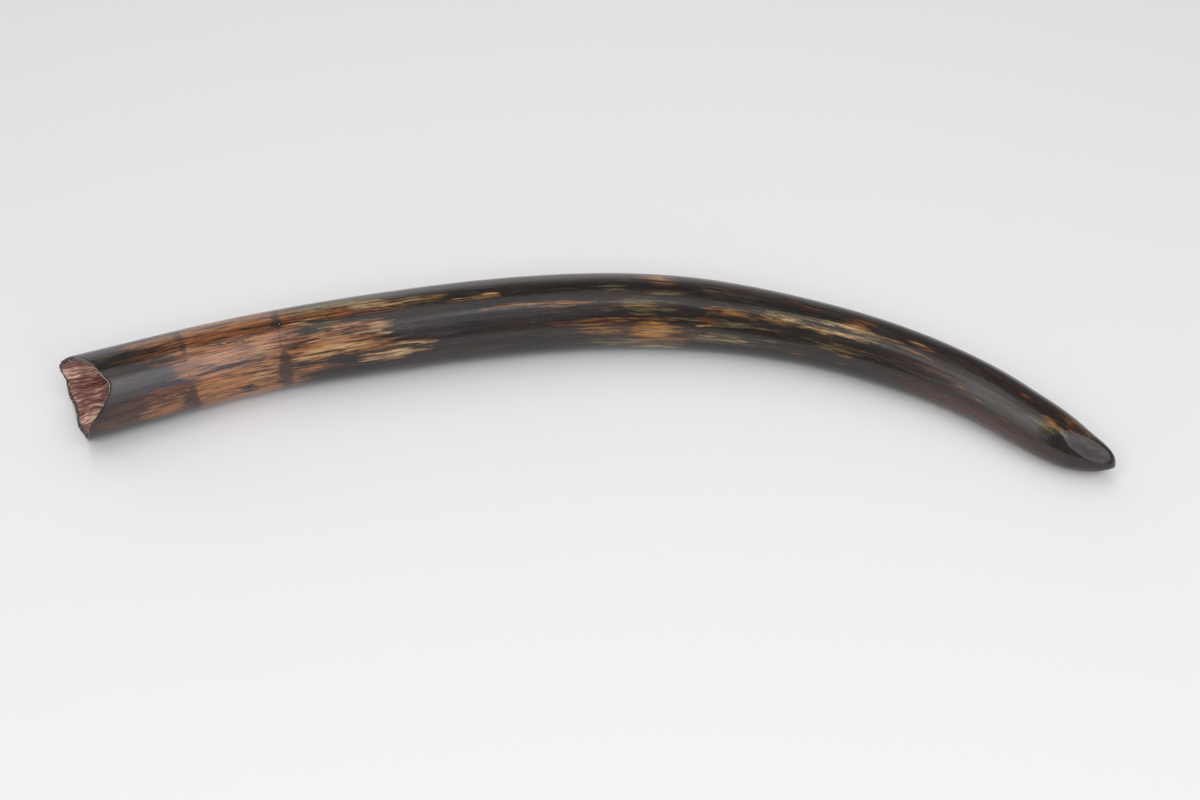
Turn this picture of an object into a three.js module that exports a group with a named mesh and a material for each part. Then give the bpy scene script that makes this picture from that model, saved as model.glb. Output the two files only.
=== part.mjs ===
import * as THREE from 'three';

// A mammoth tusk lying on its side, in millimetres, +Z up.
// +X runs from the base to the tip. The origin is on the ground, under the middle of the tusk's box.
// Places on the tusk are given by s, the distance from the base along the centreline, and by the angle
// phi around it: 0 is the top, 90 the inside of the bend, 180 the ground and 270 the outside.

const LENGTH = 1076;

// Where the centreline starts, at the base. The chord from there to the tip runs along +X.
const BASE = [-490.8, -83.3];

// Direction of the centreline at s, in degrees from +X. The tusk sweeps to one side, and wear has
// bevelled the inside of the bend near the point, so the middle line turns back there.
const HEADING = [
  [0, 27.3], [120, 25.3], [240, 16.9], [360, 15.1], [500, 8.3], [640, -3.6], [780, -17.5],
  [900, -29.1], [965, -38.8], [1010, -35.3], [1045, -23.8], [LENGTH, -20.4],
];

// Radius of the round section at s, before the nose narrows it.
const RADIUS = [
  [0, 42.6], [100, 40.6], [200, 39.6], [300, 40.3], [450, 39.6], [600, 37.6], [720, 33.8],
  [840, 31.5], [940, 28.8], [1000, 27.2], [LENGTH, 27],
];

// The nose narrows from its start to nothing at the point, and the underside lifts off the ground.
const NOSE_START = 1009;
const NOSE_POWER = 1.25;
const LIFT_START = 1000;
const LIFT_POWER = 3.5;
const POINT_HEIGHT = 15;

// The broken rim at the base: the s where the wall ends, at each phi. A wide notch runs down the top
// and the inside of the bend, and the rest of the break is nearly square.
const RIM = [
  [-90, -6.6], [-78, -7.8], [-62, -5.2], [-42, 3], [-20, 10], [0, 18], [20, 22.5], [40, 28], [60, 19.5],
  [80, 6], [92, -0.5], [108, -3], [130, -3.6], [152, -2.8], [170, -4], [188, -5.9], [212, -3.4],
  [240, -5.3], [256, -4.2], [270, -6.6],
];
const RIM_BEVEL = 1.5;

// The pulp cavity is a hollow cone behind the rim.
const CAVITY_DEPTH = 230;
const CAVITY_MOUTH_RADIUS = 37.4;
const CAVITY_TAPER = 1.5;

// The leaf-shaped flat that wear has left on top of the nose: the spot it is centred on, how deep it
// cuts there, and how far it leans towards the point, in degrees.
const WEAR = { s: 1052, phi: 26, depth: 3.2, slope: 24 };

// Sections have an edge strip centred on the ground line, so the tusk lies on a flat strip.
const SIDES = 36;
const SIDE_ANGLE = 360 / SIDES;
const STATION_STEP = 20;
const NOSE_RINGS = 14;
const RIM_ZONE_END = 80;

// Smooth curve through the points of a table: a cubic between each pair, with the slope at a point
// taken from its two neighbours.
function curve(table, at) {
  const last = table.length - 1;
  const x = Math.min(Math.max(at, table[0][0]), table[last][0]);
  let k = 0;
  while (k < last - 1 && x > table[k + 1][0]) k += 1;
  const slope = (i) => {
    const [a, b] = [table[Math.max(i - 1, 0)], table[Math.min(i + 1, last)]];
    return (b[1] - a[1]) / (b[0] - a[0]);
  };
  const [[x0, y0], [x1, y1]] = [table[k], table[k + 1]];
  const h = x1 - x0;
  const t = (x - x0) / h;
  const rise = h * (slope(k) * t * (1 - t) ** 2 - slope(k + 1) * t * t * (1 - t));
  return y0 + (y1 - y0) * t * t * (3 - 2 * t) + rise;
}

const radians = THREE.MathUtils.degToRad;

// Points of the centreline on the ground plane, one for each millimetre, added up from the heading.
const trail = [new THREE.Vector2(...BASE)];
for (let s = 1; s <= LENGTH; s += 1) {
  const heading = radians(curve(HEADING, s - 0.5));
  const step = new THREE.Vector2(Math.cos(heading), Math.sin(heading));
  trail.push(trail[s - 1].clone().add(step));
}

function outerRadius(s) {
  const intoNose = Math.max(0, s - NOSE_START) / (LENGTH - NOSE_START);
  return curve(RADIUS, s) * Math.sqrt(Math.max(0, 1 - intoNose ** NOSE_POWER));
}

// Centre of the section at s. Before s = 0 the line runs straight on.
function centre(s) {
  const lifted = Math.max(0, s - LIFT_START) / (LENGTH - LIFT_START);
  const height = outerRadius(s) * Math.cos(radians(SIDE_ANGLE / 2)) + POINT_HEIGHT * lifted ** LIFT_POWER;
  const whole = Math.min(Math.max(Math.floor(s), 0), LENGTH - 1);
  const point = trail[whole].clone().lerp(trail[whole + 1], s - whole);
  return new THREE.Vector3(point.x, point.y, height);
}

// Direction from the centreline to the surface, at s and phi.
function outward(s, phi) {
  const heading = radians(curve(HEADING, s));
  const inside = new THREE.Vector3(Math.sin(heading), -Math.cos(heading), 0);
  return new THREE.Vector3(0, 0, Math.cos(radians(phi))).addScaledVector(inside, Math.sin(radians(phi)));
}

function cavityRadius(s) {
  return CAVITY_MOUTH_RADIUS * (1 - (Math.max(s, 0) / CAVITY_DEPTH) ** CAVITY_TAPER);
}

// The plane of the worn flat: its normal leans from the section towards the point.
function wearPlane() {
  const heading = radians(curve(HEADING, WEAR.s));
  const along = new THREE.Vector3(Math.cos(heading), Math.sin(heading), 0);
  const out = outward(WEAR.s, WEAR.phi);
  const normal = out.clone().multiplyScalar(Math.cos(radians(WEAR.slope)));
  normal.addScaledVector(along, Math.sin(radians(WEAR.slope)));
  const spot = centre(WEAR.s).addScaledVector(out, outerRadius(WEAR.s) - WEAR.depth);
  return new THREE.Plane().setFromNormalAndCoplanarPoint(normal, spot);
}

const flat = wearPlane();

// Point of the tusk's skin at s and phi, pulled in to the worn flat where it would stand over it.
function skin(s, phi) {
  const middle = centre(s);
  const out = outward(s, phi);
  let radius = outerRadius(s);
  const facing = flat.normal.dot(out);
  if (s > LIFT_START && facing > 0) radius = Math.min(radius, -flat.distanceToPoint(middle) / facing);
  return middle.addScaledVector(out, Math.max(radius, 0));
}

function lining(s, phi) {
  return centre(s).addScaledVector(outward(s, phi), cavityRadius(s));
}

// Numbers from first to last in equal steps of about the given size, without the first.
function steps(first, last, size) {
  const count = Math.max(1, Math.round(Math.abs(last - first) / size));
  return Array.from({ length: count }, (_, i) => first + ((last - first) * (i + 1)) / count);
}

// Rings of the body, in one run: from the point back to the rim, over it, and down the cavity.
// Each is a function from phi to a point.
function ringRun() {
  const rings = [];
  for (let ring = 1; ring <= NOSE_RINGS; ring += 1) {
    const s = LENGTH - (LENGTH - NOSE_START) * (ring / NOSE_RINGS) ** 2;
    rings.push((phi) => skin(s, phi));
  }
  for (const s of steps(NOSE_START, RIM_ZONE_END, STATION_STEP)) rings.push((phi) => skin(s, phi));
  const rimZone = [0.75, 0.52, 0.32, 0.15, 0.05];
  const between = (from, share) => from + (RIM_ZONE_END - from) * share;
  for (const share of rimZone) rings.push((phi) => skin(between(curve(RIM, phi), share), phi));
  rings.push((phi) => skin(curve(RIM, phi), phi).lerp(centre(curve(RIM, phi)), 0.02));
  rings.push((phi) => lining(curve(RIM, phi) + RIM_BEVEL, phi));
  for (const share of [0.12, 0.32, 0.6, 1]) {
    rings.push((phi) => lining(between(curve(RIM, phi) + RIM_BEVEL, share), phi));
  }
  const cavityEnd = CAVITY_DEPTH - 4;
  for (const s of steps(RIM_ZONE_END, cavityEnd, 16)) rings.push((phi) => lining(s, phi));
  return rings;
}

// Closed mesh of the rings, with a point at each end of the run.
function tuskGeometry() {
  const rings = ringRun();
  const vertices = [centre(LENGTH)];
  for (const ring of rings) {
    for (let j = 0; j < SIDES; j += 1) {
      const phi = (j + 0.5) * SIDE_ANGLE;
      vertices.push(ring(phi > 270 ? phi - 360 : phi));
    }
  }
  vertices.push(centre(CAVITY_DEPTH));

  const at = (ring, j) => 1 + ring * SIDES + (j % SIDES);
  const index = [];
  for (let j = 0; j < SIDES; j += 1) {
    index.push(0, at(0, j), at(0, j + 1));
    for (let ring = 0; ring < rings.length - 1; ring += 1) {
      const [a, b, c, d] = [at(ring, j), at(ring, j + 1), at(ring + 1, j), at(ring + 1, j + 1)];
      index.push(a, c, b, b, c, d);
    }
    index.push(at(rings.length - 1, j + 1), at(rings.length - 1, j), vertices.length - 1);
  }
  const geometry = new THREE.BufferGeometry().setFromPoints(vertices);
  geometry.setIndex(index);
  return geometry;
}

const ivory = new THREE.MeshStandardMaterial({ color: 0x3b2c22, roughness: 0.35, metalness: 0 });

const tusk = new THREE.Mesh(tuskGeometry(), ivory);
tusk.name = 'tusk';
tusk.geometry.computeVertexNormals();

const group = new THREE.Group();
group.add(tusk);

export default group;
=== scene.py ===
"""A stained and polished mammoth tusk, lying on its side on a pale studio sweep.

Sizes are in millimetres until a mesh is made. Places on the tusk are given by s, the distance from the
base along the centreline, and by the angle phi round it: 0 is the top, 90 the inside of the bend, 180 the
ground and 270 the outside.
"""

import logging
import math
from dataclasses import dataclass
from enum import Enum
from typing import Any, Sequence

import bpy
import numpy as np
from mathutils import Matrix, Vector
from numpy.typing import NDArray


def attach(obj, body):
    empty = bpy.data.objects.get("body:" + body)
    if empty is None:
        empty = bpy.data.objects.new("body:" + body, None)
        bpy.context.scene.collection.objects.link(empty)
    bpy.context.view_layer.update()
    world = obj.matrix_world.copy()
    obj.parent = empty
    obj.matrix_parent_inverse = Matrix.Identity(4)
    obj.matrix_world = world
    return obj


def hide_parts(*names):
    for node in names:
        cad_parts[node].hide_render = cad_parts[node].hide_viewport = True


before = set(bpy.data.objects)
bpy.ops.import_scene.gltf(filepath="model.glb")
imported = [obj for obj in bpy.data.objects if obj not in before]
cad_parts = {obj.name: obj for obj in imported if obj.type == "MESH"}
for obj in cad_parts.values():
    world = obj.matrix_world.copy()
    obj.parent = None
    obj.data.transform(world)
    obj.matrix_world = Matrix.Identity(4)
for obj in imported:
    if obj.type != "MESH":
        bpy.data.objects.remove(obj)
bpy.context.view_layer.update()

Array = NDArray[np.float64]
Pair = tuple[float, float]
Table = Sequence[Pair]
Colour = tuple[float, float, float]
Place = tuple[float, float, float]

LOG = logging.getLogger("tusk")
MM = 0.001

# Large odd numbers that scatter neighbouring cells of a lattice, and the bits kept of what they give.
SCATTER = (73856093, 19349663, 83492791, 2654435)
STIR = 1274126177
KEPT_BITS = 0xFFFF


def through(points: Table, at: Array) -> Array:
    """Smooth curve through the points of a table.

    Between two points it is the cubic y0 + (y1 - y0) t² (3 - 2t) + h (m0 t (1-t)² - m1 t² (1-t)), where t
    runs from 0 to 1, h is the step and m is the slope between a point's two neighbours.

    Args:
        points: The (x, y) points, by rising x.
        at: Where the curve is wanted.

    Returns:
        The curve's height at each place.
    """
    xs, ys = np.array(points, float).T
    slopes = np.gradient(ys, xs)
    slopes[1:-1] = (ys[2:] - ys[:-2]) / (xs[2:] - xs[:-2])
    x = np.clip(at, xs[0], xs[-1])
    k = np.clip(np.searchsorted(xs, x, side="right") - 1, 0, len(xs) - 2)
    step = xs[k + 1] - xs[k]
    t = (x - xs[k]) / step
    rise = step * (slopes[k] * t * (1 - t) ** 2 - slopes[k + 1] * t * t * (1 - t))
    return ys[k] + (ys[k + 1] - ys[k]) * t * t * (3 - 2 * t) + rise


def ramp(low: float, high: float, values: Array) -> Array:
    """Soft step: 0 below low, 1 above high, and t² (3 - 2t) between them.

    Args:
        low: Where the step starts.
        high: Where the step ends.
        values: The numbers to step.

    Returns:
        The stepped numbers.
    """
    t = np.clip((values - low) / (high - low), 0, 1)
    return t * t * (3 - 2 * t)


def eased(values: Array, width: float) -> Array:
    """The larger of a number and 0, with the corner rounded as (x + w)² / 4w from -w to w.

    Args:
        values: The numbers.
        width: The w of the corner.

    Returns:
        The eased numbers.
    """
    rounded = np.maximum(values + width, 0) ** 2 / (4 * width)
    return np.where(values < width, rounded, values)


def lattice(cells: NDArray[np.int64], seed: int) -> Array:
    """A steady random value from 0 to 1 for each lattice cell, by mixing its three whole numbers.

    Args:
        cells: Whole-number cells, with X, Y and Z along the last axis.
        seed: Picks one of many lattices.

    Returns:
        One value for each cell.
    """
    x, y, z = np.moveaxis(cells, -1, 0)
    mixed = (x * SCATTER[0]) ^ (y * SCATTER[1]) ^ (z * SCATTER[2]) ^ (seed * SCATTER[3])
    mixed = (mixed ^ (mixed >> 13)) * STIR
    return ((mixed ^ (mixed >> 16)) & KEPT_BITS) / KEPT_BITS


def noise(places: Array, seed: int) -> Array:
    """Smooth noise from 0 to 1: the lattice's corner values, blended along each axis by t² (3 - 2t).

    Args:
        places: Points in lattice units, with X, Y and Z along the last axis.
        seed: Picks the lattice.

    Returns:
        One value for each point.
    """
    cells = np.floor(places).astype(np.int64)
    t = places - cells
    t = t * t * (3 - 2 * t)
    total = np.zeros(places.shape[:-1])
    for corner in np.ndindex(2, 2, 2):
        weight = np.prod(np.where(np.array(corner, bool), t, 1 - t), axis=-1)
        total += weight * lattice(cells + np.array(corner), seed)
    return total


@dataclass(frozen=True)
class TuskShape:
    """The tusk's form, with the same sizes as the CAD solid, and the finer relief that the solid leaves out.

    The surface is centre(s) + radius(s, phi) * outward(s, phi). heading is in degrees from +X, girth and
    rim are in millimetres, and rim_bevel is how much further in the inner edge of the rim lies than the
    outer one. Cells are the sizes of the noise along, up and across the tusk, and rib_sway holds the reach
    in degrees and the length in millimetres of the waves in the cavity's ribs.
    """

    length: float = 1076
    base: Pair = (-490.8, -83.3)
    heading: Table = (
        (0, 27.3), (120, 25.3), (240, 16.9), (360, 15.1), (500, 8.3), (640, -3.6), (780, -17.5),
        (900, -29.1), (965, -38.8), (1010, -35.3), (1045, -23.8), (1076, -20.4),
    )
    girth: Table = (
        (0, 42.6), (100, 40.6), (200, 39.6), (300, 40.3), (450, 39.6), (600, 37.6), (720, 33.8),
        (840, 31.5), (940, 28.8), (1000, 27.2), (1076, 27),
    )
    nose_start: float = 1009
    nose_power: float = 1.25
    nose_blend: float = 0.4
    tip_draw: float = 0.013
    lift_start: float = 1000
    lift_power: float = 3.5
    point_height: float = 15
    rim: Table = (
        (-90, -6.6), (-78, -7.8), (-62, -5.2), (-42, 3), (-20, 10), (0, 18), (20, 22.5), (40, 28),
        (60, 19.5), (80, 6), (92, -0.5), (108, -3), (130, -3.6), (152, -2.8), (170, -4), (188, -5.9),
        (212, -3.4), (240, -5.3), (256, -4.2), (270, -6.6),
    )
    rim_bevel: Table = (
        (-90, 2.4), (-40, 1.8), (0, 2.2), (20, 3.2), (60, 4.2), (90, 4.4), (150, 3.4), (225, 3.6),
        (250, 2.8), (270, 2.4),
    )
    lip_depth: float = 0.015
    lip_length: float = 2.2
    rim_zone_end: float = 80
    cavity_depth: float = 230
    cavity_mouth: float = 37.4
    cavity_taper: float = 1.5
    wear_s: float = 1052
    wear_phi: float = 26
    wear_depth: float = 3.2
    wear_slope: float = 24
    wear_blend: float = 1.2
    wear_runout: float = 8
    ground_facet: float = 5
    dent_depth: float = 0.5
    dent_cells: Place = (110, 26, 26)
    small_dent_cells: Place = (34, 9, 9)
    small_dent_share: float = 0.25
    dent_fade: float = 40
    chip_depth: float = 1.4
    chips_round: float = 14
    small_chips_round: float = 31
    chip_shift: float = 40
    rib_depth: float = 0.022
    rib_length: float = 60
    ribs_round: float = 9
    rib_sway: Table = ((3, 13), (2, 5.3))

    def trail(self, s: Array) -> Array:
        """Centreline on the ground: the base plus the sum of unit steps along the heading.

        Before s = 0 it runs straight on.

        Args:
            s: Distance along the centreline.

        Returns:
            The (x, y) points.
        """
        steps = np.arange(1, self.length + 1)
        turn = np.radians(through(self.heading, steps - 0.5))
        x = self.base[0] + np.append(0, np.cumsum(np.cos(turn)))
        y = self.base[1] + np.append(0, np.cumsum(np.sin(turn)))
        along = np.append(0, steps)
        before = np.minimum(s, 0)
        x_at = np.interp(s, along, x) + before * np.cos(turn[0])
        y_at = np.interp(s, along, y) + before * np.sin(turn[0])
        return np.stack([x_at, y_at], axis=-1)

    def smooth_radius(self, s: Array) -> Array:
        """Radius of the round section: girth(s) sqrt(1 - n^p) (1 - d n).

        n runs softly from 0 to 1 along the nose, p is nose_power and d is tip_draw.

        Args:
            s: Distance along the centreline.

        Returns:
            The radii.
        """
        share = (s - self.nose_start) / (self.length - self.nose_start)
        into_nose = np.clip(eased(share, self.nose_blend), 0, 1)
        drawn = np.sqrt(1 - into_nose**self.nose_power) * (1 - self.tip_draw * into_nose)
        return through(self.girth, s) * drawn

    def centre(self, s: Array) -> Array:
        """Centre of the section: one radius above the ground, lifted towards the point by a power of s.

        Args:
            s: Distance along the centreline.

        Returns:
            The points.
        """
        lifted = np.clip((s - self.lift_start) / (self.length - self.lift_start), 0, 1)
        height = self.smooth_radius(s) * math.cos(math.radians(self.ground_facet))
        height = height + self.point_height * lifted**self.lift_power
        return np.concatenate([self.trail(s), height[..., None]], axis=-1)

    def outward(self, s: Array, phi: Array) -> Array:
        """Unit vector from the centreline to the surface: cos(phi) up plus sin(phi) to the inside.

        Args:
            s: Distance along the centreline.
            phi: Angle round it.

        Returns:
            The vectors.
        """
        turn = np.radians(through(self.heading, s))
        angle = np.radians(phi)
        across = np.sin(angle)
        return np.stack([across * np.sin(turn), -across * np.cos(turn), np.cos(angle)], axis=-1)

    def straightened(self, s: Array, phi: Array) -> Array:
        """The same place on a straight tusk, (s, r cos phi, r sin phi), for patterns that follow the grain.

        Args:
            s: Distance along the centreline.
            phi: Angle round it.

        Returns:
            The places, in millimetres.
        """
        r = self.smooth_radius(s)
        angle = np.radians(phi)
        return np.stack([s, r * np.cos(angle), r * np.sin(angle)], axis=-1)

    def dents(self, s: Array, phi: Array) -> Array:
        """How far the polished skin lies under the smooth form.

        It is dent_depth times a blend of two sizes of long, low noise, and fades out towards the point.

        Args:
            s: Distance along the centreline.
            phi: Angle round it.

        Returns:
            The depths.
        """
        place = self.straightened(s, phi)
        broad = noise(place / np.array(self.dent_cells), seed=3)
        small = noise(place / np.array(self.small_dent_cells), seed=8)
        blend = (1 - self.small_dent_share) * broad + self.small_dent_share * small
        return self.dent_depth * blend * ramp(0, self.dent_fade, self.length - s)

    def rim_line(self, phi: Array) -> Array:
        """Where the wall ends at each phi: the broad notch and scallops, plus two sizes of chips from noise.

        Args:
            phi: Angle round the centreline.

        Returns:
            The s of the outer edge.
        """
        angle = np.radians(phi)
        ring = np.stack([np.cos(angle), np.sin(angle), np.zeros_like(angle)], axis=-1)
        coarse = noise(ring * self.chips_round + self.chip_shift, seed=21)
        fine = noise(ring * self.small_chips_round + self.chip_shift, seed=22)
        return through(self.rim, phi) + self.chip_depth * (0.65 * coarse + 0.35 * fine)

    def wear_plane(self) -> tuple[Array, Array]:
        """The plane of the worn flat, whose normal leans from the section towards the point.

        Returns:
            A point of the plane and its normal.
        """
        s, phi = np.array(self.wear_s), np.array(self.wear_phi)
        turn = np.radians(through(self.heading, s))
        lean = math.radians(self.wear_slope)
        along = np.array([np.cos(turn), np.sin(turn), 0.0])
        out = self.outward(s, phi)
        spot = self.centre(s) + out * (self.smooth_radius(s) - self.wear_depth)
        return spot, out * math.cos(lean) + along * math.sin(lean)

    def wear(self, s: Array, phi: Array, radius: Array) -> Array:
        """How far the worn flat cuts in below a radius: what stands over it, with an eased corner.

        Args:
            s: Distance along the centreline.
            phi: Angle round it.
            radius: The radius before the wear.

        Returns:
            The depths.
        """
        spot, normal = self.wear_plane()
        facing = self.outward(s, phi) @ normal
        to_plane = ((spot - self.centre(s)) @ normal) / np.maximum(facing, 1e-3)
        near_point = ramp(self.lift_start, self.nose_start + self.wear_runout, s) * ramp(0, 0.3, facing)
        return eased(radius - to_plane, self.wear_blend) * near_point

    def lip(self, s: Array, phi: Array) -> Array:
        """Share of the radius left near the rim, where the edge is rounded off."""
        return 1 - self.lip_depth * (1 - ramp(0, self.lip_length, s - self.rim_line(phi)))

    def skin(self, s: Array, phi: Array) -> Array:
        """Points of the outer surface.

        The radius is smooth_radius - dents, less the wear, times the lip, and nothing reaches below the
        ground.

        Args:
            s: Distance along the centreline.
            phi: Angle round it.

        Returns:
            The points, in millimetres.
        """
        radius = self.smooth_radius(s) - self.dents(s, phi)
        radius = np.maximum(radius - self.wear(s, phi, radius), 0) * self.lip(s, phi)
        points = self.centre(s) + self.outward(s, phi) * radius[..., None]
        points[..., 2] = np.maximum(points[..., 2], 0)
        return points

    def lining(self, s: Array, phi: Array) -> Array:
        """Points of the cavity's wall: a cone, mouth (1 - (s / depth)^taper), with long, wavy ribs on it.

        The ribs are two sizes of noise round the cavity, and phi sways along them by a sum of sines.

        Args:
            s: Distance along the centreline.
            phi: Angle round it.

        Returns:
            The points, in millimetres.
        """
        into = np.clip(s, 0, self.cavity_depth) / self.cavity_depth
        radius = self.cavity_mouth * (1 - into**self.cavity_taper)
        swayed = phi
        for reach, period in self.rib_sway:
            swayed = swayed + reach * np.sin(s / period)
        angle = np.radians(swayed)
        round_it = [s / self.rib_length, np.cos(angle) * self.ribs_round, np.sin(angle) * self.ribs_round]
        ring = np.stack(round_it, axis=-1)
        ribs = noise(ring, seed=31) + 0.6 * noise(ring * np.array([1.6, 2.1, 2.1]), seed=32)
        radius = radius * (1 - self.rib_depth * ribs * ramp(-8, 10, s))
        return self.centre(s) + self.outward(s, phi) * radius[..., None]


class Stain(Enum):
    """Colours the ground left in the tusk; black also paints shade at the point. The value is the mesh
    attribute placing it.
    """

    OLIVE = "stain_olive"
    AMBER = "stain_amber"
    GOLD = "stain_gold"
    RUST = "stain_rust"
    CREAM = "stain_cream"
    RED = "stain_red"
    BLACK = "stain_black_and_shade"


@dataclass(frozen=True)
class Patch:
    """One stained patch: an oval on the unrolled surface, long along the grain.

    Its field is depth - ((s - s0) / length)² - ((phi - phi0 - lean (s - s0)) / width)², so it is depth in
    the middle, 0 on the oval's edge and negative outside. A patch whose depth is negative is only flecks.
    """

    stain: Stain
    s: float
    phi: float
    length: float
    width: float
    depth: float = 1.0
    lean: float = 0.0

    def field(self, s: Array, phi: Array) -> Array:
        """The patch's field at each place, no lower than -1.3.

        Args:
            s: Distance along the centreline.
            phi: Angle round it.

        Returns:
            The field.
        """
        off = phi - self.phi - self.lean * (s - self.s)
        off = (off + 180) % 360 - 180
        oval = ((s - self.s) / self.length) ** 2 + (off / self.width) ** 2
        return np.maximum(self.depth - oval, -1.3)


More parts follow.
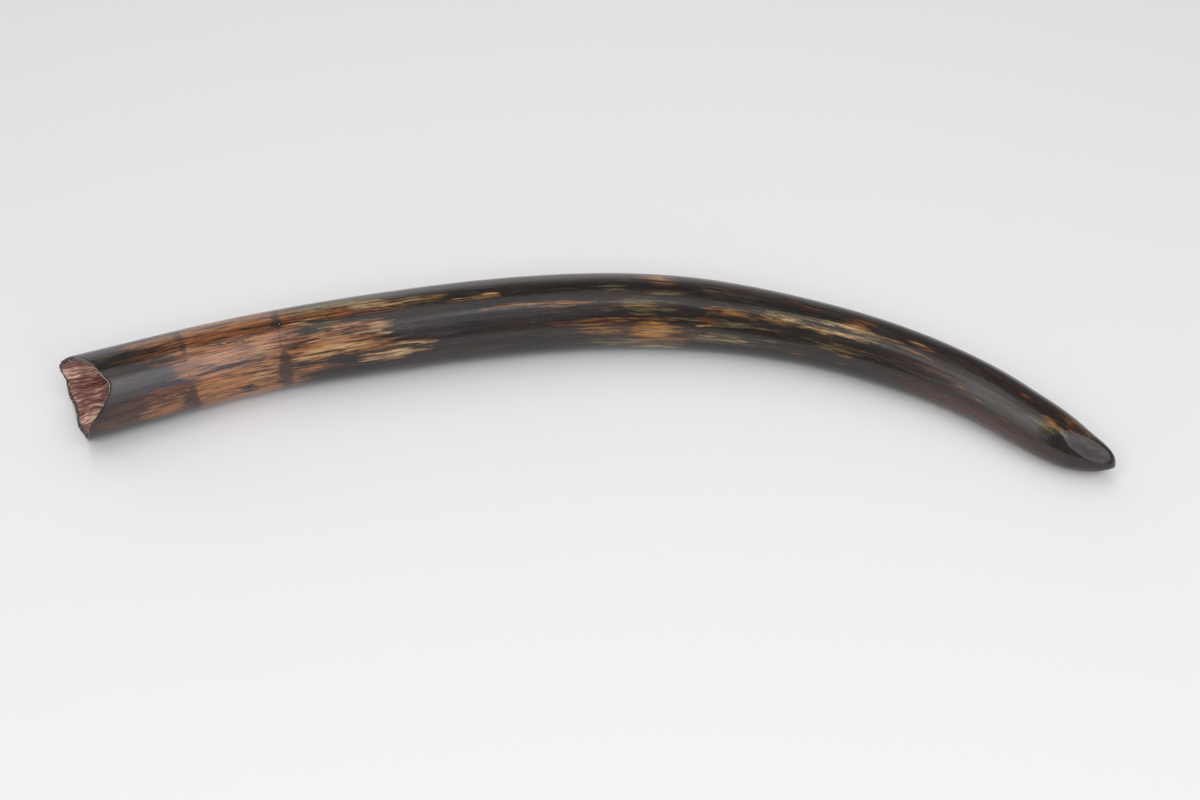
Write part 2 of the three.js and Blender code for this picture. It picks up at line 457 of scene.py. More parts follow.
PATCHES: tuple[Patch, ...] = (
    # The base, up to the first dark band.
    Patch(Stain.OLIVE, 44, -6, 46, 14, -0.2),
    Patch(Stain.AMBER, 86, -12, 38, 15, 0.7),
    Patch(Stain.RUST, 78, 12, 42, 13, 0.3),
    Patch(Stain.AMBER, 90, 30, 32, 14, -0.1),
    Patch(Stain.RUST, 76, 66, 38, 9, 0.4),
    Patch(Stain.AMBER, 82, 70, 34, 8, 0.3),
    Patch(Stain.RED, 50, 92, 64, 28, 0.9),
    Patch(Stain.AMBER, 78, 94, 30, 24, 0.75),
    Patch(Stain.AMBER, 24, 98, 24, 14, -0.05),
    Patch(Stain.OLIVE, 104, 53, 8, 6, 1.2),
    # Warm tan between the two bands.
    Patch(Stain.AMBER, 158, 20, 56, 70, 1.5),
    Patch(Stain.AMBER, 158, 100, 56, 56, 1.5),
    Patch(Stain.AMBER, 158, -60, 56, 56, 1.3),
    Patch(Stain.RUST, 156, 11, 62, 14, 0.8),
    Patch(Stain.CREAM, 182, 40, 34, 18, 0.0),
    Patch(Stain.CREAM, 180, 76, 24, 26, 0.1),
    Patch(Stain.CREAM, 150, 82, 56, 26, -0.5),
    Patch(Stain.BLACK, 142, -17, 28, 9, 0.4),
    Patch(Stain.BLACK, 140, 56, 42, 8, 0.35),
    Patch(Stain.BLACK, 126, 40, 26, 14, -0.15),
    Patch(Stain.BLACK, 161, 101, 14, 15, 0.35),
    Patch(Stain.BLACK, 152, 82, 60, 40, -0.5),
    Patch(Stain.BLACK, 150, 10, 60, 20, -0.4),
    # Olive, rust and cream streaks beyond the second band.
    Patch(Stain.OLIVE, 270, -8, 72, 20, 0.9),
    Patch(Stain.CREAM, 250, -10, 52, 15, 0.15),
    Patch(Stain.AMBER, 226, 0, 26, 16, 0.5),
    Patch(Stain.GOLD, 246, 3, 18, 10, 1.1),
    Patch(Stain.CREAM, 228, 13, 26, 7, 0.1),
    Patch(Stain.OLIVE, 252, 21, 34, 8, 0.5),
    Patch(Stain.RUST, 267, 8, 15, 13, 0.8),
    Patch(Stain.RUST, 304, 12.5, 44, 5, 0.6),
    Patch(Stain.RUST, 228, 8, 26, 3.5, 0.9, 0.2),
    Patch(Stain.BLACK, 292, 18, 62, 3, 0.0),
    Patch(Stain.AMBER, 262, 36, 64, 22, 0.25),
    Patch(Stain.CREAM, 266, 36, 58, 20, -0.1),
    Patch(Stain.AMBER, 300, 37, 20, 18, 0.3),
    Patch(Stain.CREAM, 302, 38, 20, 18, 0.1),
    Patch(Stain.AMBER, 250, 60, 62, 17, 1.1),
    Patch(Stain.CREAM, 252, 60, 56, 12, 0.45),
    Patch(Stain.CREAM, 232, 65, 26, 7, 0.3),
    Patch(Stain.AMBER, 232, 84, 28, 8, 0.7),
    Patch(Stain.CREAM, 232, 83, 24, 4, 0.2),
    Patch(Stain.BLACK, 268, 76, 36, 11, 0.5),
    Patch(Stain.BLACK, 230, 76, 30, 3, 0.4),
    Patch(Stain.AMBER, 266, 90, 26, 4.5, 0.3),
    Patch(Stain.AMBER, 304, 82, 34, 13, 0.5),
    Patch(Stain.CREAM, 300, 81, 30, 11, 0.35),
    Patch(Stain.CREAM, 316, 79, 17, 9, 1.0),
    Patch(Stain.GOLD, 320, 65, 38, 6, 0.6),
    Patch(Stain.CREAM, 326, 64, 26, 4, -0.1),
    Patch(Stain.CREAM, 342, 70, 32, 7, 0.0),
    Patch(Stain.CREAM, 338, 80, 20, 4, 0.3),
    Patch(Stain.OLIVE, 330, 0, 60, 13, 0.4),
    Patch(Stain.GOLD, 342, 4, 52, 10, 0.0),
    Patch(Stain.CREAM, 334, 3, 56, 10, -0.05),
    Patch(Stain.CREAM, 298, 0, 28, 11, 0.5),
    Patch(Stain.CREAM, 384, 11, 10, 3, 0.3),
    Patch(Stain.CREAM, 418, 9, 10, 3.6, 0.45),
    Patch(Stain.GOLD, 402, 14, 44, 5, 0.25),
    Patch(Stain.CREAM, 400, 12, 42, 5, 0.0),
    Patch(Stain.OLIVE, 420, 4, 60, 14, -0.4),
    # The long golden streak and the amber heart in the middle of the bend.
    Patch(Stain.GOLD, 462, 33, 70, 6, 0.4),
    Patch(Stain.CREAM, 468, 30, 50, 4, -0.4),
    Patch(Stain.GOLD, 504, 41, 62, 7, 0.65, 0.02),
    Patch(Stain.RUST, 500, 44, 62, 6, 0.2, 0.02),
    Patch(Stain.BLACK, 496, 36, 60, 2.6, 0.4),
    Patch(Stain.BLACK, 462, 48, 78, 10, 1.5),
    Patch(Stain.BLACK, 420, 58, 60, 10, 0.3),
    Patch(Stain.GOLD, 470, 60, 60, 5, -0.05),
    Patch(Stain.OLIVE, 566, 38, 52, 15, 0.45),
    Patch(Stain.GOLD, 566, 37, 48, 14, -0.2),
    Patch(Stain.OLIVE, 541, 10, 24, 11, 0.1),
    Patch(Stain.RED, 522, 64, 66, 17, 0.5),
    Patch(Stain.GOLD, 526, 62, 62, 13, 0.3),
    Patch(Stain.GOLD, 536, 78, 42, 9, 0.45),
    Patch(Stain.GOLD, 576, 58, 36, 14, -0.15),
    Patch(Stain.GOLD, 583, 78, 28, 20, 1.0),
    Patch(Stain.GOLD, 552, 70, 40, 16, 0.0),
    Patch(Stain.AMBER, 604, 92, 30, 14, 0.2),
    Patch(Stain.AMBER, 582, 84, 26, 20, 0.0),
    Patch(Stain.CREAM, 583, 80, 24, 11, 0.0),
    Patch(Stain.BLACK, 584, 66, 50, 28, -0.35),
    Patch(Stain.RED, 612, 90, 40, 15, 0.8),
    Patch(Stain.GOLD, 612, 76, 26, 3.5, 0.3, -0.1),
    Patch(Stain.OLIVE, 566, 104, 66, 17, 0.6),
    Patch(Stain.CREAM, 582, 115, 34, 9, 0.35),
    Patch(Stain.GOLD, 588, -2, 28, 8, 0.2),
    Patch(Stain.AMBER, 586, -18, 26, 12, 0.5),
    Patch(Stain.CREAM, 584, -18, 16, 9, 0.1),
    Patch(Stain.OLIVE, 594, 18, 30, 10, 0.1),
    Patch(Stain.OLIVE, 646, 2, 28, 13, 0.2),
    Patch(Stain.GOLD, 664, -8, 16, 6, -0.05),
    Patch(Stain.RUST, 730, 0, 32, 16, 0.15),
    Patch(Stain.GOLD, 662, 36, 30, 8, 0.6),
    Patch(Stain.CREAM, 660, 34, 20, 4, -0.2),
    Patch(Stain.RUST, 662, 43, 30, 7, 0.0),
    Patch(Stain.GOLD, 704, 39, 36, 6, 0.45),
    Patch(Stain.OLIVE, 664, 56, 90, 13, 0.15),
    Patch(Stain.RUST, 644, 54, 70, 11, -0.35),
    Patch(Stain.CREAM, 633, 65, 6, 2.2, 0.6, -0.3),
    Patch(Stain.GOLD, 641, 62.5, 6, 2.4, 0.8, -0.1),
    Patch(Stain.OLIVE, 650, 85, 44, 12, 0.6),
    Patch(Stain.CREAM, 646, 84, 32, 6, -0.15),
    Patch(Stain.CREAM, 674, 85, 13, 3, 0.3),
    Patch(Stain.OLIVE, 690, 80, 66, 20, -0.1),
    Patch(Stain.RUST, 709, 88, 8, 4, 0.1),
    Patch(Stain.RUST, 738, 90, 14, 6, 0.1),
    # Cream and olive flames beyond the bend.
    Patch(Stain.OLIVE, 718, 30, 46, 14, 0.6),
    Patch(Stain.CREAM, 716, 33, 34, 7, 0.25),
    Patch(Stain.OLIVE, 768, 30, 62, 18, 0.4),
    Patch(Stain.CREAM, 764, 36, 56, 7, 0.45),
    Patch(Stain.CREAM, 752, 21, 50, 6, 0.0),
    Patch(Stain.CREAM, 790, 21, 38, 10, 0.45),
    Patch(Stain.GOLD, 782, 14, 46, 6, 0.1),
    Patch(Stain.RUST, 791, 0, 20, 16, 0.2),
    Patch(Stain.GOLD, 792, 3, 22, 16, 0.2),
    Patch(Stain.BLACK, 770, 28, 60, 3.5, 0.5),
    Patch(Stain.BLACK, 770, 43, 60, 4, 0.3),
    Patch(Stain.GOLD, 828, 18, 24, 3, 0.2),
    Patch(Stain.GOLD, 850, 24, 48, 3.6, 0.35, 0.06),
    Patch(Stain.CREAM, 846, 23, 40, 3, -0.05, 0.06),
    Patch(Stain.GOLD, 862, 9, 24, 7, 0.35, 0.08),
    Patch(Stain.CREAM, 860, 9, 18, 6, 0.2, 0.08),
    Patch(Stain.OLIVE, 776, 60, 70, 16, 0.15),
    Patch(Stain.GOLD, 782, 59, 30, 5, 0.05),
    Patch(Stain.GOLD, 784, 72, 20, 5, 0.2),
    Patch(Stain.RUST, 786, 88, 12, 8, -0.1),
    # Red-brown towards the point.
    Patch(Stain.RED, 940, 94, 120, 34, 0.7),
    Patch(Stain.RED, 955, 0, 90, 30, -0.1),
    Patch(Stain.RED, 896, 46, 60, 20, 0.4),
    Patch(Stain.RUST, 864, 82, 36, 6, 0.0, -0.1),
    Patch(Stain.GOLD, 912, 51, 12, 4, 0.3),
    Patch(Stain.GOLD, 936, 59, 10, 3, 0.0),
    Patch(Stain.RUST, 982, 72, 36, 11, -0.15),
    Patch(Stain.RUST, 918, 22, 28, 4, 0.0),
    Patch(Stain.RUST, 973, 0, 7, 5, 0.5, -0.3),
    Patch(Stain.RUST, 1000, -6, 40, 12, -0.2),
    Patch(Stain.OLIVE, 985, 41, 50, 10, 0.0),
    Patch(Stain.GOLD, 1012, 24, 24, 17, 0.0),
    Patch(Stain.OLIVE, 1010, 28, 26, 19, 0.5),
    Patch(Stain.RUST, 1024, -12, 56, 20, 0.0),
    Patch(Stain.OLIVE, 1030, -10, 44, 18, 0.0),
    Patch(Stain.GOLD, 1036, -20, 42, 14, 0.2),
    Patch(Stain.GOLD, 1028, 8, 10, 10, 0.2),
    Patch(Stain.OLIVE, 1018, 52, 12, 12, 0.0),
    # Painted shade: the near-black wedge along the lower edge of the worn flat.
    Patch(Stain.BLACK, 1050, 43, 26, 9, 1.9, -0.1),
)


@dataclass(frozen=True)
class Band:
    """A dark ring round the tusk where growth paused. Each table gives a value for each phi.

    dark is how dark it is, and before and after are how far it reaches to the base and to the point.
    """

    s: float
    dark: Table
    before: Table
    after: Table

    def field(self, s: Array, phi: Array) -> Array:
        """dark(phi) - (off / reach(phi))², no lower than -1, off being measured from a wavy ring at s.

        Args:
            s: Distance along the centreline.
            phi: Angle round it.

        Returns:
            The field.
        """
        wander = 1.2 * np.sin(np.radians(3 * phi + self.s)) + 0.8 * np.sin(np.radians(7 * phi))
        past = s - self.s - wander
        reach = np.where(past < 0, through(self.before, phi), through(self.after, phi))
        return np.maximum(through(self.dark, phi) - (past / reach) ** 2, -1)


@dataclass(frozen=True)
class Crack:
    """A fine crack along the grain, given by the (s, phi) points it passes through."""

    line: Table

    def offset(self, s: Array, phi: Array, radius: Array) -> Array:
        """How far places are from the crack.

        Args:
            s: Distance along the centreline.
            phi: Angle round it.
            radius: The surface's radius.

        Returns:
            Vectors of the millimetres across the grain, the millimetres beyond the crack's ends, and 0.
        """
        around = np.radians(phi - through(self.line, s)) * radius
        past = np.maximum(self.line[0][0] - s, 0) + np.maximum(s - self.line[-1][0], 0)
        return np.stack([around, past, np.zeros_like(s)], axis=-1)


@dataclass(frozen=True)
class Knot:
    """A small round spot with a pale middle and a dark ring."""

    s: float
    phi: float
    radius: float

    def place(self, shape: TuskShape) -> Place:
        """Its place on the straightened tusk, in metres."""
        spot = shape.straightened(np.array(self.s), np.array(self.phi)) * MM
        return tuple(float(part) for part in spot)


BANDS = (
    Band(
        107,
        dark=(
            (-90, 0.8), (0, 0.85), (16, 0.75), (40, 0.5), (60, 0.55), (74, 0.8), (84, 1.1), (110, 1.1),
            (135, 0.7),
        ),
        before=((-90, 8), (0, 9), (20, 7), (40, 4), (70, 6), (84, 14), (112, 16), (135, 8), (270, 8)),
        after=((-90, 4), (0, 5), (60, 3.5), (84, 5), (270, 4)),
    ),
    Band(
        204,
        dark=(
            (-90, 0.95), (-4, 0.95), (8, 1.25), (18, 0.75), (38, 0.5), (54, 0.8), (66, 1.15), (92, 1.1),
            (120, 0.8),
        ),
        before=(
            (-90, 7), (-4, 7), (8, 8), (18, 5), (40, 4), (60, 8), (80, 12), (100, 14), (125, 8), (270, 7),
        ),
        after=((-90, 5), (-4, 5), (8, 6), (18, 4), (40, 4), (60, 8), (88, 8), (125, 6), (270, 5)),
    ),
)
CRACKS = (
    Crack(((107, 16), (130, 18), (150, 22), (166, 25), (190, 27), (212, 28))),
    Crack(((168, 5), (205, 8), (225, 10), (262, 18))),
)
KNOTS = (Knot(107, 16, 1.6), Knot(166, 24.5, 1.1), Knot(205, 8, 2.0), Knot(208, 28, 1.2))


def hidden_patches(count: int = 64, seed: int = 11) -> tuple[Patch, ...]:
    """Stains for the underside and the outside of the bend, drawn from the same kinds and sizes.

    Args:
        count: How many patches to draw.
        seed: Fixes the draw.

    Returns:
        The patches, with phi from 118 to 318.
    """
    draw = np.random.default_rng(seed)
    kinds = (Stain.AMBER, Stain.GOLD, Stain.CREAM, Stain.OLIVE, Stain.RED, Stain.RUST, Stain.BLACK)
    shares = (0.14, 0.22, 0.20, 0.18, 0.14, 0.07, 0.05)
    patches = [
        Patch(Stain.AMBER, 156, 180, 50, 60, 1.2),
        Patch(Stain.AMBER, 156, 250, 50, 60, 1.2),
        Patch(Stain.AMBER, 256, 230, 44, 40, 0.9),
    ]
    reach, sides = (30, 1030), (118, 318)
    lengths, widths, depths = (14, 56), (4, 13), (0.1, 0.8)
    for _ in range(count):
        kind = kinds[draw.choice(len(kinds), p=shares)]
        s, phi = draw.uniform(*reach), draw.uniform(*sides)
        length, width = draw.uniform(*lengths), draw.uniform(*widths)
        patches.append(Patch(kind, s, phi, length, width, draw.uniform(*depths)))
    return tuple(patches)


@dataclass(frozen=True)
class TuskGrid:
    """The tusk as one closed grid: rows run from the point back to the rim, over it and down the cavity.

    The crowdings are the powers that bring rows closer together towards the point and the rim.
    """

    shape: TuskShape
    sides: int = 180
    nose_rows: int = 64
    nose_crowding: int = 2
    body_step: float = 3.6
    zone_rows: int = 56
    zone_crowding: float = 1.5
    break_rows: int = 7
    fine_grit: float = 1.7
    coarse_grit: float = 4.1
    grit_depth: float = 0.6
    mouth_rows: int = 70
    mouth_crowding: float = 1.3
    cavity_rows: int = 60
    cavity_gap: float = 2

    def angles(self) -> Array:
        """The phi of each column, from -90 to 270."""
        phi = (np.arange(self.sides) + 0.5) * 360 / self.sides
        return np.where(phi > 270, phi - 360, phi)

    def skin_rows(self) -> Array:
        """The s of each skin row and column, from the point to the rim, closest at both ends.

        Returns:
            The values, by row and column.
        """
        shape = self.shape
        inward = (np.arange(1, self.nose_rows + 1) / self.nose_rows) ** self.nose_crowding
        nose = shape.length - (shape.length - shape.nose_start) * inward
        count = round((shape.nose_start - shape.rim_zone_end) / self.body_step)
        body = np.linspace(shape.nose_start, shape.rim_zone_end, count + 1)[1:]
        straight = np.concatenate([nose, body])[:, None] * np.ones(self.sides)
        share = np.linspace(1, 0, self.zone_rows + 1)[1:, None] ** self.zone_crowding
        line = shape.rim_line(self.angles())
        return np.concatenate([straight, line + (shape.rim_zone_end - line) * share])

    def lining_rows(self) -> Array:
        """The s of each lining row and column, from just inside the rim to near the cavity's end.

        Returns:
            The values, by row and column.
        """
        shape = self.shape
        share = np.linspace(0, 1, self.mouth_rows)[:, None] ** self.mouth_crowding
        line = shape.rim_line(self.angles()) + through(shape.rim_bevel, self.angles())
        mouth = line + (shape.rim_zone_end - line) * share
        last = shape.cavity_depth - self.cavity_gap
        deep = np.linspace(shape.rim_zone_end, last, self.cavity_rows + 1)[1:, None]
        return np.concatenate([mouth, deep * np.ones(self.sides)])

    def break_points(self, outer: Array, inner: Array) -> Array:
        """Rows of the broken wall between its two edges.

        They are an even blend of the edges, roughened along the tusk by grit_depth times 4t (1 - t) times
        noise from -1 to 1, where t is the share of the way across the wall.

        Args:
            outer: Points of the outer edge.
            inner: Points of the inner edge.

        Returns:
            The points of the rows, without the edges.
        """
        share = np.linspace(0, 1, self.break_rows + 2)[1:-1, None, None]
        flat = outer + (inner - outer) * share
        rough = noise(flat / self.fine_grit, seed=51) + noise(flat / self.coarse_grit, seed=52) - 1
        belly = 4 * share[..., 0] * (1 - share[..., 0])
        turn = math.radians(self.shape.heading[0][1])
        along = np.array([math.cos(turn), math.sin(turn), 0])
        return flat + (rough * belly * self.grit_depth)[..., None] * along

    def faces(self, rows: int) -> tuple[list[list[int]], Array]:
        """Faces of the grid, turned outwards, with a fan at each end.

        Args:
            rows: Number of rows.

        Returns:
            The faces' corners, and the row that each face starts from.
        """
        sides = self.sides
        row, column = np.meshgrid(np.arange(rows - 1), np.arange(sides), indexing="ij")
        right = (column + 1) % sides
        here, below = 1 + row * sides, 1 + (row + 1) * sides
        quads = np.stack([here + column, below + column, below + right, here + right], axis=-1)
        around = np.arange(sides)
        after = (around + 1) % sides
        last = 1 + (rows - 1) * sides
        tip = np.stack([np.zeros_like(around), 1 + around, 1 + after], axis=-1)
        end = np.stack([last + after, last + around, np.full_like(around, 1 + rows * sides)], axis=-1)
        starts = np.concatenate([row.ravel(), np.zeros(sides), np.full(sides, rows)])
        return quads.reshape(-1, 4).tolist() + tip.tolist() + end.tolist(), starts


def store(mesh: bpy.types.Mesh, name: str, values: Array) -> None:
    """Stores a number or a vector on each vertex of a mesh.

    Args:
        mesh: The mesh.
        name: The name by which the finishes read it.
        values: A number, or a row of three, for each vertex.
    """
    kind, slot = ("FLOAT_VECTOR", "vector") if values.ndim == 2 else ("FLOAT", "value")
    layer = mesh.attributes.new(name, kind, "POINT")
    layer.data.foreach_set(slot, values.astype(np.float32).ravel())


@dataclass(frozen=True)
class Tusk:
    """The tusk's mesh and its painted fields.

    glint is the strength of the painted highlight on the rim's edge at each phi, and blush the painted light
    and shade in the cavity there.
    Points nearer to the centreline than lining_share of the radius belong to the cavity. The fades are the
    depths of wear over which its colour and its rubbing come in, and how far the glint reaches from the rim.
    """

    shape: TuskShape = TuskShape()
    patches: tuple[Patch, ...] = PATCHES
    # Painted highlight: how strongly the rim's edge is lit at each phi.
    glint: Table = ((-90, 0.4), (0, 0.6), (15, 0.95), (40, 0.9), (52, 0.3), (100, 0.15), (270, 0.4))
    # Painted light and shade on the cavity wall: paler or darker by phi, as the light falls inside it.
    cavity_painted_light: Table = (
        (-90, 0.22), (-78, 0.2), (-60, 0.0), (160, 0.0), (178, 0.05), (191, 0.34), (204, -0.05), (219, 0.14),
        (236, -0.15), (254, -0.12), (266, 0.16), (270, 0.22),
    )
    lining_share: float = 0.93
    worn_fade: Pair = (0.5, 1.4)
    rubbed_fade: Pair = (0, 0.3)
    glint_fade: Pair = (0.1, 1.0)
    name: str = "tusk_ivory"

    def build(self) -> bpy.types.Object:
        """Makes the closed mesh, marks the cavity's faces for the second finish and paints the fields.

        Returns:
            The tusk's object, at the origin.
        """
        shape, grid = self.shape, TuskGrid(self.shape)
        phi = grid.angles()
        skin_s = grid.skin_rows()
        lining_s = grid.lining_rows()
        skin = shape.skin(skin_s, np.broadcast_to(phi, skin_s.shape))
        lining = shape.lining(lining_s, np.broadcast_to(phi, lining_s.shape))
        broken = grid.break_points(skin[-1], lining[0])
        broken_s = np.repeat(skin_s[-1:], len(broken), axis=0)
        rows = np.concatenate([skin, broken, lining])
        row_s = np.concatenate([skin_s, broken_s, lining_s])
        is_broken = np.zeros(row_s.shape)
        is_broken[len(skin_s) : len(skin_s) + len(broken)] = 1

        # The point of the tusk and the end of the cavity close the two ends of the grid.
        tip = shape.centre(np.array([shape.length]))
        end = shape.centre(np.array([shape.cavity_depth]))
        points = np.concatenate([tip, rows.reshape(-1, 3), end])
        s = np.concatenate([[shape.length], row_s.ravel(), [shape.cavity_depth]])
        angle = np.concatenate([[0], np.broadcast_to(phi, row_s.shape).ravel(), [0]])

        faces, first_row = grid.faces(len(rows))
        mesh = bpy.data.meshes.new(self.name)
        mesh.from_pydata((points * MM).tolist(), [], faces)
        mesh.shade_smooth()
        inside = (first_row >= len(skin_s) - 1).astype(np.int32)
        mesh.polygons.foreach_set("material_index", inside)
        self.paint(mesh, points, s, angle, np.concatenate([[0], is_broken.ravel(), [0]]))
        mesh.update()
        piece = bpy.data.objects.new(self.name, mesh)
        bpy.context.scene.collection.objects.link(piece)
        return piece

    def paint(self, mesh: bpy.types.Mesh, points: Array, s: Array, phi: Array, broken: Array) -> None:
        """Stores on the mesh the fields that the finishes read.

        Args:
            mesh: The tusk's mesh.
            points: Its vertices, in millimetres.
            s: The s of each vertex.
            phi: The phi of each vertex.
            broken: 1 on the broken edge of the wall.
        """
        radius = np.linalg.norm(points - self.shape.centre(s), axis=-1)
        store(mesh, "grain", self.grain(s, phi, radius))
        everywhere = self.patches + hidden_patches()
        for stain in Stain:
            fields = [patch.field(s, phi) for patch in everywhere if patch.stain is stain]
            store(mesh, stain.value, np.max(fields, axis=0))
        store(mesh, "band", np.max([band.field(s, phi) for band in BANDS], axis=0))
        for index, crack in enumerate(CRACKS):
            store(mesh, f"crack_{index}", crack.offset(s, phi, radius))
        wear = self.shape.wear(s, phi, self.shape.smooth_radius(s))
        store(mesh, "worn", ramp(*self.worn_fade, wear))
        store(mesh, "rubbed", ramp(*self.rubbed_fade, wear))
        # Painted highlight: a pale line along the rim's edge, by phi.
        near_rim = 1 - ramp(*self.glint_fade, s - self.shape.rim_line(phi))
        store(mesh, "rim_glint", near_rim * through(self.glint, phi))
        store(mesh, "broken", broken)
        # Painted light and shade on the cavity wall, by phi.
        store(mesh, "cavity_painted_light", through(self.cavity_painted_light, phi))

    def grain(self, s: Array, phi: Array, radius: Array) -> Array:
        """Places on the straightened tusk, (s, r cos phi, r sin phi), for patterns that follow the grain.

        In the cavity phi sways by two sines of s and phi, one of 0.7 and one of 1.1 degrees.

        Args:
            s: Distance along the centreline.
            phi: Angle round it.
            radius: Distance from the centreline.

        Returns:
            The places, in metres.
        """
        sway = 0.7 * np.sin(s / 2.6 + phi / 7) + 1.1 * np.sin(s / 6.1 + phi / 23)
        inside = (radius < self.lining_share * self.shape.smooth_radius(s)) & (s <= self.shape.cavity_depth)
        angle = np.radians(phi + np.where(inside, sway, 0))
        return np.stack([s, radius * np.cos(angle), radius * np.sin(angle)], axis=-1) * MM


class Tree:
    """Adds nodes to one node tree and joins them."""

    def __init__(self, tree: bpy.types.NodeTree) -> None:
        """Keeps the tree that the nodes go in."""
        self.tree = tree

    def add(self, kind: str, inputs: dict[Any, Any] | None = None, **settings: Any) -> bpy.types.Node:
        """Adds a node.

        Args:
            kind: The node's type.
            inputs: For each input's name or number, the socket that feeds it or its value.
            settings: The node's own properties.

        Returns:
            The node.
        """
        node = self.tree.nodes.new(kind)
        for name, value in settings.items():
            setattr(node, name, value)
        for key, value in (inputs or {}).items():
            if isinstance(value, bpy.types.NodeSocket):
                self.tree.links.new(value, node.inputs[key])
            else:
                node.inputs[key].default_value = value
        return node

    def field(self, name: str) -> bpy.types.NodeSocket:
        """The number that the mesh stores under a name."""
        return self.add("ShaderNodeAttribute", attribute_name=name).outputs["Fac"]

    def reach(self, name: str) -> bpy.types.NodeSocket:
        """The length of the vector that the mesh stores under a name."""
        vector = self.add("ShaderNodeAttribute", attribute_name=name).outputs["Vector"]
        return self.add("ShaderNodeVectorMath", {0: vector}, operation="LENGTH").outputs["Value"]

    def maths(self, operation: str, first: Any, second: Any = 0.0) -> bpy.types.NodeSocket:
        """One of Blender's operations on one or two numbers."""
        return self.add("ShaderNodeMath", {0: first, 1: second}, operation=operation).outputs[0]

    def sum(self, first: Any, second: Any) -> bpy.types.NodeSocket:
        """The sum of two numbers."""
        return self.maths("ADD", first, second)

    def times(self, first: Any, second: Any) -> bpy.types.NodeSocket:
        """The product of two numbers."""
        return self.maths("MULTIPLY", first, second)

    def step(self, value: Any, low: float, high: float, out: Pair = (0, 1)) -> bpy.types.NodeSocket:
        """A soft step of a number from low to high, giving out[0] to out[1]."""
        inputs = {"Value": value, "From Min": low, "From Max": high, "To Min": out[0], "To Max": out[1]}
        return self.add("ShaderNodeMapRange", inputs, interpolation_type="SMOOTHSTEP").outputs[0]

    def blend(self, share: Any, first: Any, second: Any, kind: str = "MIX") -> bpy.types.NodeSocket:
        """A blend of two colours.

        Args:
            share: How much of the second shows, from 0 to 1.
            first: The colour below.
            second: The colour above.
            kind: How they blend, by Blender's name for it.

        Returns:
            The blended colour.
        """
        inputs = {0: share, 6: rgba(first), 7: rgba(second)}
        node = self.add("ShaderNodeMix", inputs, data_type="RGBA", blend_type=kind)
        return node.outputs[2]

    def group(self, group: bpy.types.NodeTree, inputs: dict[str, Any]) -> bpy.types.NodeSocket:
        """The first output of a node group with these inputs."""
        return self.add("ShaderNodeGroup", inputs, node_tree=group).outputs[0]


def rgba(colour: Any) -> Any:
    """A linear colour with its alpha, or a socket as it is."""
    return (*colour, 1.0) if isinstance(colour, tuple) else colour


def tint(red: int, green: int, blue: int) -> Colour:
    """Linear colour of a display colour: ((c + 0.055) / 1.055) ^ 2.4 of each part, and straight near black.

    Args:
        red: The red part, from 0 to 255.
        green: The green part.
        blue: The blue part.

    Returns:
        The colour, with parts from 0 to 1.
    """
    display = np.array([red, green, blue]) / 255
    linear = np.where(display < 0.04045, display / 12.92, ((display + 0.055) / 1.055) ** 2.4)
    return tuple(float(part) for part in linear)


def new_group(name: str, inputs: dict[str, float], output: str) -> tuple[bpy.types.NodeTree, Tree, Any, Any]:
    """Starts a node group with number inputs and one number output.

    Args:
        name: The group's name.
        inputs: Each input's name and default.
        output: The output's name.

    Returns:
        The group, its tree, its input node and the socket of its output node.
    """
    group = bpy.data.node_groups.new(name, "ShaderNodeTree")
    for label, value in inputs.items():
        socket = group.interface.new_socket(label, in_out="INPUT", socket_type="NodeSocketFloat")
        socket.default_value = value
    group.interface.new_socket(output, in_out="OUTPUT", socket_type="NodeSocketFloat")
    tree = Tree(group)
    source = tree.add("NodeGroupInput")
    sink = tree.add("NodeGroupOutput")
    return group, tree, source, sink.inputs[0]


def streak_group() -> bpy.types.NodeTree:
    """Noise drawn out along the grain: fractal noise at grain * (Along, Across, Across), spread to 0 to 1.

    Returns:
        The node group.
    """
    defaults = {"Along": 10.0, "Across": 120.0, "Detail": 3.0, "Crispness": 0.7, "Shift": 0.0}
    group, tree, source, sink = new_group("lengthwise_streaks", defaults, "Streak")
    place = tree.add("ShaderNodeAttribute", attribute_name="grain").outputs["Vector"]
    across = source.outputs["Across"]
    scale = tree.add("ShaderNodeCombineXYZ", {0: source.outputs["Along"], 1: across, 2: across})
    scaled = tree.add("ShaderNodeVectorMath", {0: place, 1: scale.outputs[0]}, operation="MULTIPLY")
    shift = source.outputs["Shift"]
    moved = tree.add("ShaderNodeVectorMath", {0: scaled.outputs[0], 1: shift}, operation="ADD")
    inputs = {
        "Vector": moved.outputs[0],
        "Scale": 1.0,
        "Detail": source.outputs["Detail"],
        "Roughness": source.outputs["Crispness"],
    }
    fractal = tree.add("ShaderNodeTexNoise", inputs)
    spread = tree.add("ShaderNodeMapRange", {"Value": fractal.outputs[0], "From Min": 0.3, "From Max": 0.7})
    tree.tree.links.new(spread.outputs[0], sink)
    return group


def ragged_group() -> bpy.types.NodeTree:
    """Mask of a stain: a soft step of Gain * field + Bite * (breakup - 0.5), from -Softness to +Softness.

    Returns:
        The node group.
    """
    defaults = {"Field": 0.0, "Gain": 2.2, "Breakup": 0.5, "Bite": 2.4, "Softness": 0.3}
    group, tree, source, sink = new_group("ragged_stain", defaults, "Mask")
    centred = tree.maths("SUBTRACT", source.outputs["Breakup"], 0.5)
    bitten = tree.times(centred, source.outputs["Bite"])
    value = tree.sum(tree.times(source.outputs["Field"], source.outputs["Gain"]), bitten)
    negative = tree.times(source.outputs["Softness"], -1.0)
    inputs = {"Value": value, "From Min": negative, "From Max": source.outputs["Softness"]}
    mask = tree.add("ShaderNodeMapRange", inputs, interpolation_type="SMOOTHSTEP")
    tree.tree.links.new(mask.outputs[0], sink)
    return group


